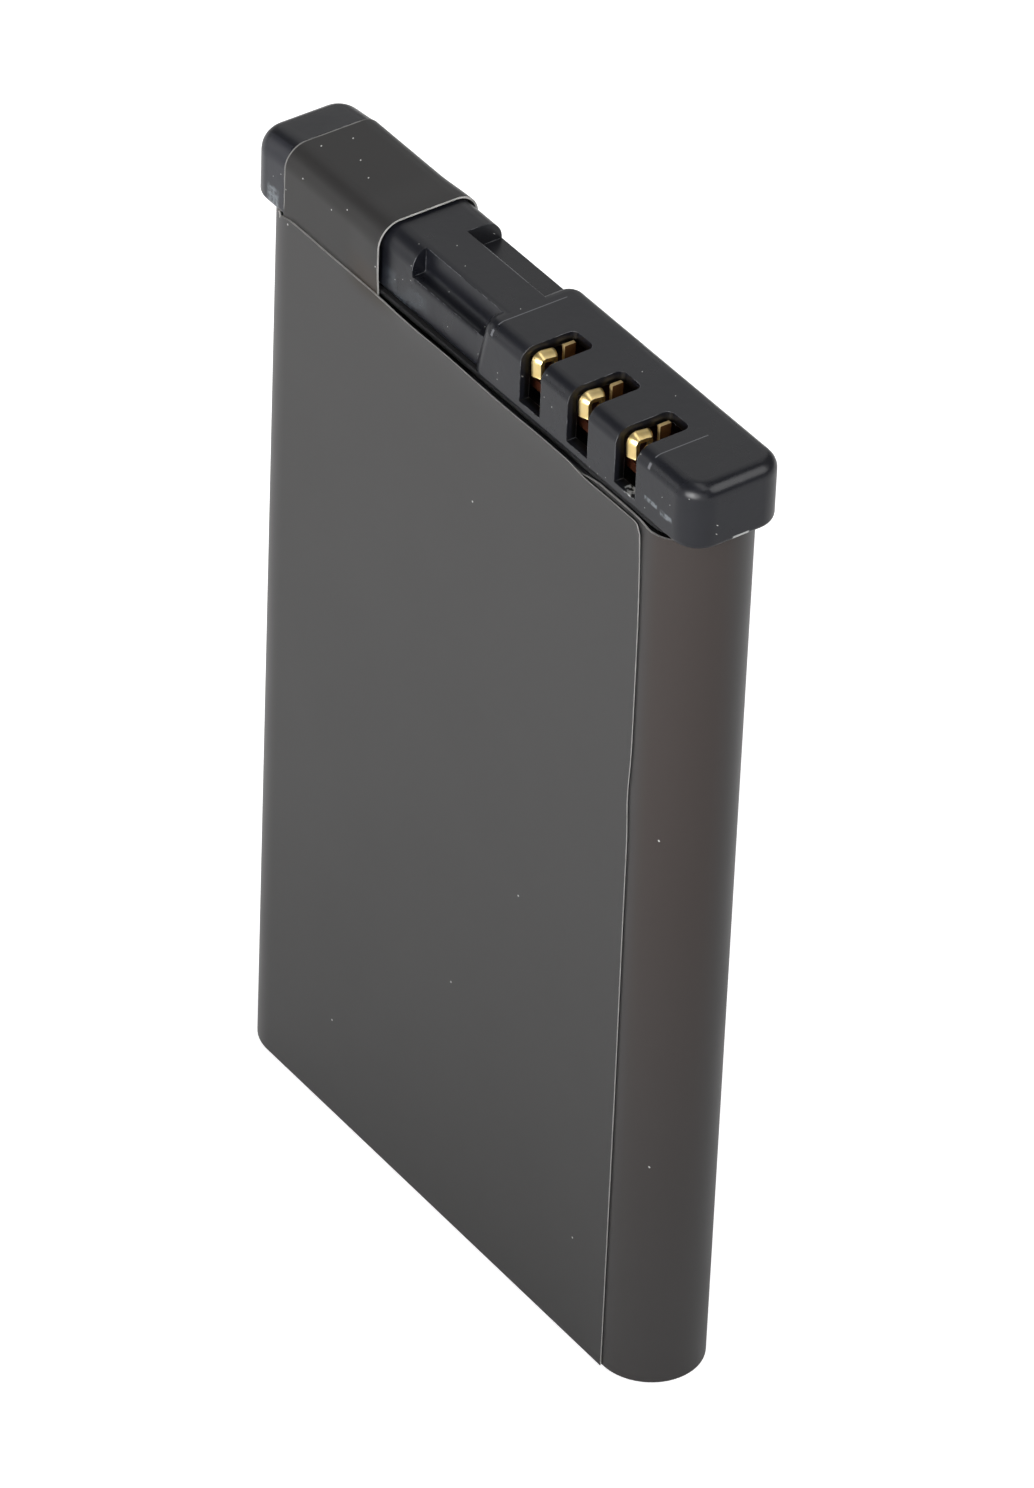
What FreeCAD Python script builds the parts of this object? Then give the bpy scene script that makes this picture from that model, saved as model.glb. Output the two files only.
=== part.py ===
"""A removable lithium-ion battery for a mobile phone, standing on its flat end.

A sealed aluminium cell carries a moulded cap on its lid. The cap covers a small
protection board with three contacts, and a dark film is wound round cell and cap.
X runs along the width, -Y is the front, +Z is up, and the origin is the middle
of the cell's bottom end. Lengths are in millimetres.
"""

import FreeCAD, Part
import math
import os
import re

import Sketcher

SIZES = {
    # sealed cell
    "can_width": 33.44,
    "can_depth": 5.2,
    "can_height": 49.7,
    "can_bottom_round": 0.4,
    "lid_inset": 0.45,
    "lid_seam_width": 0.15,
    "lid_seam_depth": 0.1,
    # negative pole and filling plug in the lid
    "gasket_diameter": 3.0,
    "gasket_sink": 0.3,
    "gasket_flange": 0.15,
    "gasket_floor": 0.1,
    "terminal_diameter": 2.2,
    "terminal_head": 0.3,
    "rivet_diameter": 1.2,
    "plug_diameter": 1.2,
    "plug_depth": 0.4,
    "plug_place": -7.5,
    # adhesive pad between lid and cap
    "pad_thickness": 0.3,
    "pad_inset": 0.1,
    "window_clearance": 0.2,
    # moulded cap
    "cap_overhang": 0.73,
    "cap_height": 3.4,
    "cap_wall": 0.55,
    "cap_end_round": 1.4,
    "cap_foot_round": 0.3,
    "bar_setback": 0.2,
    "bar_top_round": 1.05,
    "boss_length": 2.85,
    "boss_top_round": 1.25,
    "boss_fall": 0.3,
    "block_length": 17.2,
    "block_draft": 0.85,
    "block_corner_round": 0.9,
    "block_top_round": 0.75,
    "rebate_inset": 12.75,
    "front_floor": 2.0,
    "rear_floor": 2.3,
    "front_rebate_depth": 0.75,
    "rear_rebate_depth": 1.9,
    "rib_edge_round": 0.15,
    "rebate_root_round": 0.15,
    # contact slots and contacts
    "slot_inset": 8.73,
    "slot_pitch": 3.66,
    "slot_width": 1.6,
    "slot_depth": 2.97,
    "slot_sill": 0.6,
    "slot_corner_round": 0.35,
    "contact_width": 1.35,
    "contact_sheet": 0.2,
    "contact_inset": 0.5,
    "contact_sink": 0.4,
    "contact_clearance": 0.15,
    "contact_front_bend": 0.35,
    "contact_rear_bend": 0.35,
    "contact_lip": 1.15,
    "contact_loop": 1.35,
    "contact_slit": 0.45,
    "contact_heel": 1.1,
    "contact_leaf": 0.6,
    "leaf_sink": 0.25,
    "leaf_corner_round": 0.1,
    # board, strips and fuse
    "board_left_inset": 3.45,
    "board_right_inset": 1.25,
    "board_wall_gap": 0.2,
    "board_thickness": 0.5,
    "board_clearance": 0.1,
    "strip_thickness": 0.12,
    "strip_width": 2.0,
    "strip_weld": 2.0,
    "positive_inset": 5.75,
    "fuse_length": 4.0,
    "fuse_width": 2.6,
    "fuse_thickness": 0.36,
    "fuse_corner_round": 0.3,
    "fuse_place": 5.0,
    "fuse_strip_length": 4.5,
    # components on the board
    "chip_length": 2.9,
    "chip_width": 1.6,
    "chip_height": 1.0,
    "chip_inset": 2.4,
    "transistor_length": 3.0,
    "transistor_width": 2.2,
    "transistor_height": 0.9,
    "transistor_inset": 6.1,
    "lead_width": 0.4,
    "lead_reach": 0.5,
    "lead_thickness": 0.15,
    "lead_pitch": 0.95,
    "small_length": 1.0,
    "small_width": 0.5,
    "resistor_height": 0.35,
    "capacitor_height": 0.5,
    "capacitor_inset": 0.45,
    "sense_inset": 4.22,
    "identity_inset": 8.15,
    # film
    "film": 0.1,
    "film_gap": 0.02,
    "film_foot": 0.1,
    "panel_rise": 0.15,
    "under_clearance": 1.9,
    "seam_inset": 0.12,
    "film_corner_round": 0.8,
    "tab_width": 7.7,
    "tab_tuck": 3.0,
}

# places worked out from the driving sizes
HALF_DEPTH = "(can_depth / 2)"
STRAIGHT = "(can_width / 2 - can_depth / 2)"
CAP_FOOT = "(can_height + pad_thickness)"
CAP_TOP = f"({CAP_FOOT} + cap_height)"
CAP_LEFT = "(-can_width / 2 - cap_overhang)"
CAP_RIGHT = "(can_width / 2 + cap_overhang)"
FILM_STEP = "(film + film_gap)"
BOSS_RIGHT = f"({CAP_LEFT} + boss_length)"
BAR_FRONT = f"(-{HALF_DEPTH} + bar_setback)"
BLOCK_FRONT = f"(-{HALF_DEPTH} - {FILM_STEP})"
TERMINAL_TOP = "(can_height + gasket_flange + terminal_head)"
BOARD_FOOT = f"({TERMINAL_TOP} + 2 * strip_thickness + fuse_thickness)"
BOARD_TOP = f"({BOARD_FOOT} + board_thickness)"
HOLLOW_TOP = f"({CAP_TOP} - cap_wall)"
BLOCK_LEFT = f"({CAP_RIGHT} - block_length)"
BLOCK_SHOULDER = f"({BLOCK_LEFT} + block_draft)"
REBATE_END = f"({CAP_LEFT} + rebate_inset)"
RIB_FRONT = f"({BAR_FRONT} + front_rebate_depth)"
RIB_REAR = f"({HALF_DEPTH} - rear_rebate_depth)"
SLOT_REAR = f"({BLOCK_FRONT} + slot_depth)"
BOARD_LEFT = f"({CAP_LEFT} + board_left_inset)"
BOARD_RIGHT = f"({CAP_RIGHT} - board_right_inset)"
BOARD_FRONT = f"({BAR_FRONT} + cap_wall + board_wall_gap)"
BOARD_REAR = f"({HALF_DEPTH} - cap_wall - board_wall_gap)"
BOARD_MIDDLE = f"(({BOARD_FRONT} + {BOARD_REAR}) / 2)"
POSITIVE_PLACE = f"({CAP_LEFT} + positive_inset)"
TAB_LEFT = f"({BOSS_RIGHT} + film_gap)"
TAB_RIGHT = f"({BOSS_RIGHT} + tab_width)"
UNDER_END = f"({TAB_RIGHT} + under_clearance)"
SEAM = f"({STRAIGHT} - seam_inset)"

# how near a plane an edge must lie to count as lying in it
SLACK = 1e-5

doc = FreeCAD.newDocument("phone_battery")
sheet = doc.addObject("Spreadsheet::Sheet", "sizes")
for row, (alias, size) in enumerate(SIZES.items(), start=1):
    sheet.set(f"A{row}", alias)
    sheet.set(f"B{row}", str(size))
    sheet.setAlias(f"B{row}", alias)
doc.recompute()

parts = {}


def formula(text):
    """The expression with each size's name led by the sheet's name."""
    return re.sub(r"[a-z_]+", lambda word: f"sizes.{word.group()}", text)


def value(text):
    """The expression's number, in millimetres."""
    return float(sheet.evalExpression(text))


def new_body(name):
    body = doc.addObject("PartDesign::Body", name)
    body.Label = name
    return body


def keep(name, piece):
    """Name a finished sub-part, which names its file too."""
    piece.Label = name
    parts[name] = piece


def new_sketch(body, name, plane, shift):
    sketch = body.newObject("Sketcher::SketchObject", name)
    support = [item for item in body.Origin.OriginFeatures if item.Role == plane]
    sketch.AttachmentSupport = [(support[0], "")]
    sketch.MapMode = "FlatFace"
    sketch.setExpression("AttachmentOffset.Base.z", formula(shift))
    return sketch


def hold(sketch, kind, references, text):
    """Add a dimension to a sketch and tie it to the sheet."""
    index = sketch.addConstraint(Sketcher.Constraint(kind, *references, value(text)))
    sketch.setExpression(f"Constraints[{index}]", formula(text))


def place_point(sketch, line, end, across, up):
    hold(sketch, "DistanceX", (-1, 1, line, end), across)
    hold(sketch, "DistanceY", (-1, 1, line, end), up)


def corner_arc(before, corner, after, radius):
    """The round of a right-angled corner, and whether it turns left."""
    centre = before + after - corner
    turns_left = (corner - before).cross(after - corner).z > 0
    first, last = (before, after) if turns_left else (after, before)
    axis = FreeCAD.Vector(1, 0, 0)
    upward = FreeCAD.Vector(0, 0, 1)
    start = (first - centre).getAngle(axis) * (1 if (first - centre).y >= 0 else -1)
    sweep = (first - centre).getAngle(last - centre)
    circle = Part.Circle(centre, upward, radius)
    return Part.ArcOfCircle(circle, start, start + sweep), turns_left


def outline(body, name, plane, corners, shift="0"):
    """A closed sketch of straight sides; a corner with a third entry is rounded by it."""
    sketch = new_sketch(body, name, plane, shift)
    count = len(corners)
    points = [FreeCAD.Vector(value(corner[0]), value(corner[1]), 0) for corner in corners]
    rounds = [value(corner[2]) if len(corner) > 2 else 0.0 for corner in corners]
    steps = [(points[(k + 1) % count] - points[k]).normalize() for k in range(count)]
    starts = [points[k] + steps[k] * rounds[k] for k in range(count)]
    ends = [points[(k + 1) % count] - steps[k] * rounds[(k + 1) % count] for k in range(count)]
    for k in range(count):
        sketch.addGeometry(Part.LineSegment(starts[k], ends[k]))
    for k in range(count):
        before = (k - 1) % count
        if not rounds[k]:
            sketch.addConstraint(Sketcher.Constraint("Coincident", before, 2, k, 1))
            place_point(sketch, k, 1, corners[k][0], corners[k][1])
            continue
        arc, turns_left = corner_arc(ends[before], points[k], starts[k], rounds[k])
        number = sketch.addGeometry(arc)
        first, last = (1, 2) if turns_left else (2, 1)
        sketch.addConstraint(Sketcher.Constraint("Tangent", before, 2, number, first))
        sketch.addConstraint(Sketcher.Constraint("Tangent", number, last, k, 1))
        hold(sketch, "Radius", (number,), corners[k][2])
    for k in range(count):
        after = (k + 1) % count
        if not rounds[k] and not rounds[after]:
            continue
        level = abs(steps[k].x) > abs(steps[k].y)
        sketch.addConstraint(Sketcher.Constraint("Horizontal" if level else "Vertical", k))
        if rounds[k] and rounds[after]:
            kind, text = ("DistanceY", corners[k][1]) if level else ("DistanceX", corners[k][0])
            hold(sketch, kind, (-1, 1, k, 1), text)
    return sketch


def rectangle(body, name, plane, left, right, low, high, shift="0", corner=None):
    places = [(left, low), (right, low), (right, high), (left, high)]
    if corner:
        places = [place + (corner,) for place in places]
    return outline(body, name, plane, places, shift)


def straight_line(sketch, start_x, start_y, end_x, end_y):
    start = FreeCAD.Vector(start_x, start_y, 0)
    end = FreeCAD.Vector(end_x, end_y, 0)
    sketch.addGeometry(Part.LineSegment(start, end))


def half_round(across, up, radius, side):
    """A half circle about the point, open to the left for side 1 and to the right for side -1."""
    circle = Part.Circle(FreeCAD.Vector(across, up, 0), FreeCAD.Vector(0, 0, 1), radius)
    start = -math.pi / 2 if side > 0 else math.pi / 2
    return Part.ArcOfCircle(circle, start, start + math.pi)


def stadium(body, name, insets, shift):
    """The cell's outline, two straight sides with half-round ends, once for each inset."""
    sketch = new_sketch(body, name, "XY_Plane", shift)
    reach = value(STRAIGHT)
    for turn, inset in enumerate(insets):
        half = f"({HALF_DEPTH} - {inset})"
        radius = value(half)
        front, back, right, left = range(4 * turn, 4 * turn + 4)
        straight_line(sketch, -reach, -radius, reach, -radius)
        straight_line(sketch, reach, radius, -reach, radius)
        sketch.addGeometry(half_round(reach, 0.0, radius, 1))
        sketch.addGeometry(half_round(-reach, 0.0, radius, -1))
        for before, after in ((front, right), (right, back), (back, left), (left, front)):
            sketch.addConstraint(Sketcher.Constraint("Tangent", before, 2, after, 1))
        sketch.addConstraint(Sketcher.Constraint("Horizontal", front))
        place_point(sketch, right, 3, STRAIGHT, "0")
        hold(sketch, "DistanceX", (-1, 1, left, 3), f"-{STRAIGHT}")
        hold(sketch, "Radius", (right,), half)
    return sketch


def disc(body, name, across, diameter, shift):
    sketch = new_sketch(body, name, "XY_Plane", shift)
    centre = FreeCAD.Vector(value(across), 0, 0)
    sketch.addGeometry(Part.Circle(centre, FreeCAD.Vector(0, 0, 1), value(diameter) / 2))
    place_point(sketch, 0, 3, across, "0")
    hold(sketch, "Diameter", (0,), diameter)
    return sketch


def pad(body, name, sketch, length):
    feature = body.newObject("PartDesign::Pad", name)
    feature.Profile = sketch
    feature.setExpression("Length", formula(length))
    doc.recompute()
    return feature


def pocket(body, name, sketch, length, forward=False):
    """Cut the sketch out of the body, against its normal or along it."""
    before = body.Shape.Volume
    feature = body.newObject("PartDesign::Pocket", name)
    feature.Profile = sketch
    feature.setExpression("Length", formula(length))
    feature.Reversed = forward
    doc.recompute()
    if body.Shape.Volume >= before:
        raise ValueError(f"{name} cuts nothing")
    return feature


def fillet(body, name, base, radius, chosen):
    """Round the edges of the last feature that the test chooses."""
    names = [f"Edge{k}" for k, edge in enumerate(base.Shape.Edges, start=1) if chosen(edge)]
    feature = body.newObject("PartDesign::Fillet", name)
    feature.Base = (base, names)
    feature.setExpression("Radius", formula(radius))
    doc.recompute()
    return feature


def lies_at(edge, axis, place):
    """Whether the whole edge lies in the plane where the axis has that place."""
    box = edge.BoundBox
    low = getattr(box, f"{axis}Min")
    high = getattr(box, f"{axis}Max")
    return abs(low - place) < SLACK and abs(high - place) < SLACK


def make_cell():
    """Deep-drawn can with its welded lid; the lid has seats for the pole and the plug."""
    body = new_body("cell_can")
    can = pad(body, "can", stadium(body, "can_outline", ["0"], "0"), "can_height")
    fillet(body, "can_foot", can, "can_bottom_round", lambda edge: lies_at(edge, "Z", 0.0))
    seam = stadium(body, "lid_seam_outline", ["lid_inset", "(lid_inset + lid_seam_width)"], "can_height")
    pocket(body, "lid_seam", seam, "lid_seam_depth")
    seat = disc(body, "gasket_seat_outline", "0", "gasket_diameter", "can_height")
    pocket(body, "gasket_seat", seat, "gasket_sink")
    hole = disc(body, "plug_seat_outline", "plug_place", "plug_diameter", "can_height")
    pocket(body, "plug_seat", hole, "plug_depth")
    keep("cell_can", body)


def make_terminal():
    """Negative pole: a rivet through a plastic gasket that stands a little above the lid."""
    gasket = new_body("terminal_gasket")
    ring = disc(gasket, "gasket_outline", "0", "gasket_diameter", "can_height - gasket_sink")
    pad(gasket, "gasket", ring, "gasket_sink + gasket_flange")
    bore = disc(gasket, "rivet_bore_outline", "0", "rivet_diameter", "can_height + gasket_flange")
    pocket(gasket, "rivet_bore", bore, "gasket_sink + gasket_flange - gasket_floor")
    keep("terminal_gasket", gasket)
    rivet = new_body("negative_terminal")
    shank_foot = "can_height - gasket_sink + gasket_floor"
    shank = disc(rivet, "shank_outline", "0", "rivet_diameter", shank_foot)
    pad(rivet, "shank", shank, f"{TERMINAL_TOP} - ({shank_foot})")
    head = disc(rivet, "head_outline", "0", "terminal_diameter", "can_height + gasket_flange")
    pad(rivet, "head", head, "terminal_head")
    keep("negative_terminal", rivet)
    plug = new_body("fill_plug")
    seat = disc(plug, "plug_outline", "plug_place", "plug_diameter", "can_height - plug_depth")
    pad(plug, "plug", seat, "plug_depth")
    keep("fill_plug", plug)


def make_pad():
    """Black adhesive pad on the lid, cut short at the cap's skirt, with windows for pole and weld."""
    body = new_body("cap_pad")
    pad(body, "pad", stadium(body, "pad_outline", ["pad_inset"], "can_height"), "pad_thickness")
    window = disc(body, "pole_window_outline", "0", "gasket_diameter + 2 * window_clearance", CAP_FOOT)
    pocket(body, "pole_window", window, "pad_thickness")
    weld = rectangle(
        body, "weld_window_outline", "XY_Plane",
        f"{POSITIVE_PLACE} - strip_weld - window_clearance", f"{POSITIVE_PLACE} + window_clearance",
        "-strip_width / 2 - window_clearance", "strip_width / 2 + window_clearance", CAP_FOOT,
    )
    pocket(body, "weld_window", weld, "pad_thickness")
    skirt_room = rectangle(
        body, "skirt_room_outline", "XY_Plane", CAP_LEFT, BOSS_RIGHT, f"-{HALF_DEPTH}", HALF_DEPTH, CAP_FOOT,
    )
    pocket(body, "skirt_room", skirt_room, "pad_thickness")
    keep("cap_pad", body)


def box_part(name, left, right, front, rear, low, high, corner=None):
    """A flat piece with straight sides."""
    body = new_body(name)
    sketch = rectangle(body, f"{name}_outline", "XY_Plane", left, right, front, rear, low, corner)
    pad(body, f"{name}_plate", sketch, f"{high} - {low}")
    keep(name, body)


def make_strips():
    """Nickel strips and the fuse, stacked between the pole, the lid and the board."""
    body = new_body("positive_strip")
    top = BOARD_FOOT
    under = f"({top} - strip_thickness)"
    left = f"({POSITIVE_PLACE} - strip_thickness)"
    lid = "can_height"
    profile = [
        (f"{POSITIVE_PLACE} - strip_weld", lid),
        (POSITIVE_PLACE, lid),
        (POSITIVE_PLACE, under),
        (f"{left} + strip_weld", under),
        (f"{left} + strip_weld", top),
        (left, top),
        (left, f"{lid} + strip_thickness"),
        (f"{POSITIVE_PLACE} - strip_weld", f"{lid} + strip_thickness"),
    ]
    fold = outline(body, "positive_profile", "XZ_Plane", profile, "-strip_width / 2")
    pad(body, "positive_fold", fold, "strip_width")
    keep("positive_strip", body)
    fuse_low = f"({TERMINAL_TOP} + strip_thickness)"
    fuse_high = f"({fuse_low} + fuse_thickness)"
    fuse_left = "(fuse_place - fuse_length / 2)"
    fuse_right = "(fuse_place + fuse_length / 2)"
    half_strip = ("-strip_width / 2", "strip_width / 2")
    weld_end = f"{fuse_left} + strip_weld"
    box_part("terminal_strip", "-terminal_diameter / 2", weld_end, *half_strip, TERMINAL_TOP, fuse_low)
    box_part(
        "thermal_fuse", fuse_left, fuse_right, "-fuse_width / 2", "fuse_width / 2", fuse_low, fuse_high,
        "fuse_corner_round",
    )
    strip_left = f"({fuse_right} - strip_weld)"
    strip_right = f"{strip_left} + fuse_strip_length"
    box_part("fuse_strip", strip_left, strip_right, *half_strip, fuse_high, BOARD_FOOT)


def packaged(name, inset, length, width, height):
    """A moulded chip on three flat leads that reach out on both long sides."""
    body = new_body(name)
    place = f"({BOARD_LEFT} + {inset})"
    body_foot = f"({BOARD_TOP} + lead_thickness)"
    case = rectangle(
        body, f"{name}_case_outline", "XY_Plane",
        f"{place} - {length} / 2", f"{place} + {length} / 2",
        f"{BOARD_MIDDLE} - {width} / 2", f"{BOARD_MIDDLE} + {width} / 2", body_foot,
    )
    pad(body, f"{name}_case", case, f"{height} - lead_thickness")
    for k in range(3):
        centre = f"({place} + {k - 1} * lead_pitch)"
        lead = rectangle(
            body, f"{name}_lead_outline_{k + 1}", "XY_Plane",
            f"{centre} - lead_width / 2", f"{centre} + lead_width / 2",
            f"{BOARD_MIDDLE} - {width} / 2 - lead_reach", f"{BOARD_MIDDLE} + {width} / 2 + lead_reach",
            BOARD_TOP,
        )
        pad(body, f"{name}_lead_{k + 1}", lead, "lead_thickness")
    keep(name, body)


def make_board():
    """Protection board under the cap's middle, with its chips and small components."""
    box_part("protection_board", BOARD_LEFT, BOARD_RIGHT, BOARD_FRONT, BOARD_REAR, BOARD_FOOT, BOARD_TOP)
    packaged("protection_chip", "chip_inset", "chip_length", "chip_width", "chip_height")
    switch = ("transistor_length", "transistor_width", "transistor_height")
    packaged("switch_transistor", "transistor_inset", *switch)
    small = (
        ("sense_resistor", "sense_inset", "resistor_height"),
        ("identity_resistor", "identity_inset", "resistor_height"),
        ("filter_capacitor", "capacitor_inset", "capacitor_height"),
    )
    for name, inset, height in small:
        place = f"({BOARD_LEFT} + {inset})"
        across = (f"{place} - small_width / 2", f"{place} + small_width / 2")
        along = (f"{BOARD_MIDDLE} - small_length / 2", f"{BOARD_MIDDLE} + small_length / 2")
        box_part(name, *across, *along, BOARD_TOP, f"({BOARD_TOP} + {height})")


def slot_centre(k):
    return f"({CAP_RIGHT} - slot_inset + {k - 1} * slot_pitch)"


def make_contact(name, centre):
    """Gold-plated fork: two prongs bent round the slot's corner, a foot and two leaves behind."""
    body = new_body(name)
    front = f"({BLOCK_FRONT} + contact_inset)"
    crest = f"({CAP_TOP} - contact_sink)"
    lip = f"({crest} - contact_lip)"
    inner = f"({front} + contact_sheet)"
    under = f"({crest} - contact_sheet)"
    leg = f"({front} + contact_loop)"
    leg_inner = f"({leg} - contact_sheet)"
    foot_top = f"({BOARD_TOP} + contact_sheet)"
    leaf_rear = f"({SLOT_REAR} - contact_clearance)"
    foot_end = f"({leaf_rear} + contact_heel)"
    side = f"({centre} - contact_width / 2)"
    loop = [
        (front, lip),
        (front, crest, "contact_front_bend"),
        (leg, crest, "contact_rear_bend"),
        (leg, foot_top),
        (foot_end, foot_top),
        (foot_end, BOARD_TOP),
        (leg_inner, BOARD_TOP),
        (leg_inner, under, "(contact_rear_bend - contact_sheet)"),
        (inner, under, "(contact_front_bend - contact_sheet)"),
        (inner, lip),
    ]
    loop_sketch = outline(body, f"{name}_profile", "YZ_Plane", loop, side)
    pad(body, f"{name}_loop", loop_sketch, "contact_width")
    slit = rectangle(
        body, f"{name}_slit_outline", "XZ_Plane",
        f"{centre} - contact_slit / 2", f"{centre} + contact_slit / 2",
        f"{lip} - contact_clearance", f"{crest} + contact_clearance", f"-({front} - contact_clearance)",
    )
    pocket(body, f"{name}_slit", slit, "contact_loop + 2 * contact_clearance")
    root = f"({BOARD_TOP} + contact_sheet / 2)"
    leaf_front = f"({leaf_rear} - contact_leaf)"
    leaf_top = f"({CAP_TOP} - leaf_sink)"
    for hand, left in (("left", side), ("right", f"({centre} + contact_width / 2 - contact_sheet)")):
        leaf = [
            (leaf_front, root),
            (leaf_rear, root),
            (leaf_rear, leaf_top, "leaf_corner_round"),
            (leaf_front, leaf_top, "leaf_corner_round"),
        ]
        leaf_sketch = outline(body, f"{name}_{hand}_leaf_outline", "YZ_Plane", leaf, left)
        pad(body, f"{name}_{hand}_leaf", leaf_sketch, "contact_sheet")
    keep(name, body)


def make_cap():
    """Moulded cap: a bar with two rebates, a raised left end, and a hollow block with slots."""
    bar = new_body("cap_bar")
    section = [
        (BAR_FRONT, CAP_FOOT, "cap_foot_round"),
        (HALF_DEPTH, CAP_FOOT, "cap_foot_round"),
        (HALF_DEPTH, CAP_TOP, "bar_top_round"),
        (BAR_FRONT, CAP_TOP, "bar_top_round"),
    ]
    bar_left = f"({BOSS_RIGHT} - cap_wall)"
    bar_right = f"({BLOCK_SHOULDER} + block_top_round + block_corner_round)"
    pad(bar, "bar", outline(bar, "bar_section", "YZ_Plane", section, bar_left), f"{bar_right} - {bar_left}")
    past = "bar_top_round"
    front_floor = f"({CAP_FOOT} + front_floor)"
    front_rebate = [
        (f"{BAR_FRONT} - {past}", front_floor),
        (RIB_FRONT, front_floor, "rebate_root_round"),
        (RIB_FRONT, f"{CAP_TOP} + {past}"),
        (f"{BAR_FRONT} - {past}", f"{CAP_TOP} + {past}"),
    ]
    reach = f"{bar_right} - {REBATE_END}"
    front_cut = outline(bar, "front_rebate_section", "YZ_Plane", front_rebate, REBATE_END)
    pocket(bar, "front_rebate", front_cut, reach, True)
    rear_floor = f"({CAP_FOOT} + rear_floor)"
    rear_rebate = [
        (RIB_REAR, rear_floor, "rebate_root_round"),
        (f"{HALF_DEPTH} + {past}", rear_floor),
        (f"{HALF_DEPTH} + {past}", f"{CAP_TOP} + {past}"),
        (RIB_REAR, f"{CAP_TOP} + {past}"),
    ]
    rear_cut = outline(bar, "rear_rebate_section", "YZ_Plane", rear_rebate, REBATE_END)
    rear = pocket(bar, "rear_rebate", rear_cut, reach, True)
    top = value(CAP_TOP)
    ribs = [value(RIB_FRONT), value(RIB_REAR)]
    fillet(
        bar, "rib_edges", rear, "rib_edge_round",
        lambda edge: lies_at(edge, "Z", top) and any(lies_at(edge, "Y", rib) for rib in ribs),
    )

    block = new_body("cap_block")
    profile = [
        (BLOCK_LEFT, CAP_FOOT),
        (CAP_RIGHT, CAP_FOOT),
        (CAP_RIGHT, CAP_TOP),
        (BLOCK_SHOULDER, CAP_TOP),
    ]
    block_sketch = outline(block, "block_profile", "XZ_Plane", profile, f"-{HALF_DEPTH}")
    blank = pad(block, "block", block_sketch, f"{HALF_DEPTH} - {BLOCK_FRONT}")
    foot = value(CAP_FOOT)
    right_end = value(CAP_RIGHT)
    rounded = fillet(
        block, "block_right_corners", blank, "cap_end_round",
        lambda edge: lies_at(edge, "X", right_end) and edge.BoundBox.ZLength > top - foot - SLACK,
    )
    shoulder = value(BLOCK_SHOULDER)
    rounded = fillet(
        block, "block_left_corners", rounded, "block_corner_round",
        lambda edge: edge.BoundBox.ZLength > top - foot - SLACK and edge.BoundBox.XMax < shoulder + SLACK,
    )
    crown = fillet(block, "block_crown", rounded, "block_top_round", lambda edge: lies_at(edge, "Z", top))
    fillet(block, "block_foot", crown, "cap_foot_round", lambda edge: lies_at(edge, "Z", foot))

    boss = new_body("cap_boss")
    flush = f"({HALF_DEPTH} + {FILM_STEP})"
    boss_top = f"({CAP_TOP} + {FILM_STEP})"
    profile = [
        (CAP_LEFT, "can_height"),
        (BOSS_RIGHT, "can_height"),
        (BOSS_RIGHT, boss_top),
        (CAP_LEFT, f"{boss_top} - boss_fall"),
    ]
    boss_sketch = outline(boss, "boss_profile", "XZ_Plane", profile, f"-{flush}")
    blank = pad(boss, "boss", boss_sketch, f"2 * {flush}")
    end = value(CAP_LEFT)
    side = value(flush)
    corner = fillet(
        boss, "boss_corners", blank, "cap_end_round",
        lambda edge: lies_at(edge, "X", end) and (lies_at(edge, "Y", side) or lies_at(edge, "Y", -side)),
    )
    lowest_top = value(f"{boss_top} - boss_fall")
    step = value(BOSS_RIGHT)
    crown = fillet(
        boss, "boss_crown", corner, "boss_top_round",
        lambda edge: edge.BoundBox.ZMin > lowest_top - SLACK and not lies_at(edge, "X", step),
    )
    lid = value("can_height")
    fillet(
        boss, "boss_foot", crown, "cap_foot_round",
        lambda edge: lies_at(edge, "Z", lid) and not lies_at(edge, "X", step),
    )

    hollow = new_body("cap_hollow")
    inner_round = "(cap_end_round - cap_wall)"
    rear_wall = f"({HALF_DEPTH} - cap_wall)"
    left_room = [
        (f"{CAP_LEFT} + cap_wall", f"{BAR_FRONT} + cap_wall", inner_round),
        (f"{REBATE_END} - cap_wall", f"{BAR_FRONT} + cap_wall"),
        (f"{REBATE_END} - cap_wall", rear_wall),
        (f"{CAP_LEFT} + cap_wall", rear_wall, inner_round),
    ]
    left_sketch = outline(hollow, "left_room_outline", "XY_Plane", left_room, "can_height")
    pad(hollow, "left_room", left_sketch, f"{HOLLOW_TOP} - can_height")
    passage = rectangle(
        hollow, "passage_outline", "XY_Plane",
        f"{REBATE_END} - 2 * cap_wall", f"{BLOCK_SHOULDER} + 2 * cap_wall",
        f"{BOARD_FRONT} - board_clearance", f"{BOARD_REAR} + board_clearance", CAP_FOOT,
    )
    pad(hollow, "passage", passage, f"{BOARD_TOP} - {CAP_FOOT}")
    right_room = [
        (f"{BLOCK_SHOULDER} + cap_wall", f"{BLOCK_FRONT} + cap_wall"),
        (f"{CAP_RIGHT} - cap_wall", f"{BLOCK_FRONT} + cap_wall", inner_round),
        (f"{CAP_RIGHT} - cap_wall", rear_wall, inner_round),
        (f"{BLOCK_SHOULDER} + cap_wall", rear_wall),
    ]
    right_sketch = outline(hollow, "right_room_outline", "XY_Plane", right_room, CAP_FOOT)
    pad(hollow, "right_room", right_sketch, f"{HOLLOW_TOP} - {CAP_FOOT}")

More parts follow.
